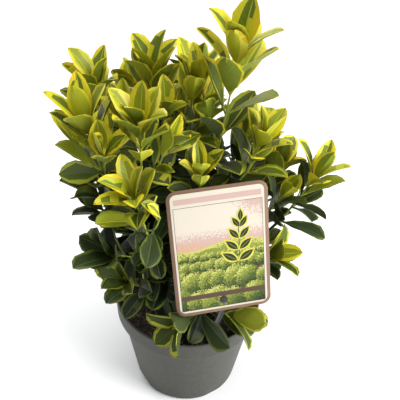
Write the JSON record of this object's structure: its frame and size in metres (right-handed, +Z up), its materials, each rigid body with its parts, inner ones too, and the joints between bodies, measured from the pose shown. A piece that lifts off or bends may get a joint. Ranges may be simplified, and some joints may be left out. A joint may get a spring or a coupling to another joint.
{
  "type": "potted japanese spindle shrub",
  "caption": "Young variegated evergreen spindle shrub with gold-edged leaves in a round grey nursery pot, with a printed card held on a stake.",
  "frame": {"origin": "centre of the pot's flat underside", "axes": "+Z up, -Y the plant's front, where the label card faces, +X to the right as seen from the front"},
  "size_m": [0.2963, 0.2859, 0.4869],
  "materials": {
    "pot_plastic": "matt mid-grey recycled polypropylene",
    "peat": "dark crumbly potting soil",
    "card": "printed plastic card",
    "stake_plastic": "blue-grey translucent polypropylene",
    "bark": "green to grey-brown young bark",
    "foliage": "glossy green leaves with golden margins"
  },
  "bodies": {
    "root": {"bough_back": "bark", "bough_back_left": "bark", "bough_back_low": "bark", "bough_back_low_left": "bark", "bough_back_low_right": "bark", "bough_back_right": "bark", "bough_centre": "bark", "bough_far_right": "bark", "bough_front_left": "bark", "bough_front_low": "bark", "bough_front_low_right": "bark", "bough_left_front": "bark", "bough_left_high": "bark", "bough_low_front_left": "bark", "bough_low_left": "bark", "bough_low_left_front": "bark", "bough_middle_left": "bark", "bough_right": "bark", "bough_right_low": "bark", "bough_right_middle": "bark", "bough_top_back": "bark", "bough_top_left": "bark", "bough_top_middle": "bark", "bough_top_right": "bark", "label_card": "card", "label_stake": "stake_plastic", "leaves_back": "foliage", "leaves_back_left": "foliage", "leaves_back_low": "foliage", "leaves_back_low_left": "foliage", "leaves_back_low_right": "foliage", "leaves_back_right": "foliage", "leaves_centre": "foliage", "leaves_far_right": "foliage", "leaves_front_left": "foliage", "leaves_front_low": "foliage", "leaves_front_low_right": "foliage", "leaves_left_front": "foliage", "leaves_left_high": "foliage", "leaves_low_front_left": "foliage", "leaves_low_left": "foliage", "leaves_low_left_front": "foliage", "leaves_middle_left": "foliage", "leaves_right": "foliage", "leaves_right_low": "foliage", "leaves_right_middle": "foliage", "leaves_top_back": "foliage", "leaves_top_left": "foliage", "leaves_top_middle": "foliage", "leaves_top_right": "foliage", "pot": "pot_plastic", "root_ball": "peat", "short_stem": "bark"}
  },
  "joints": []
}
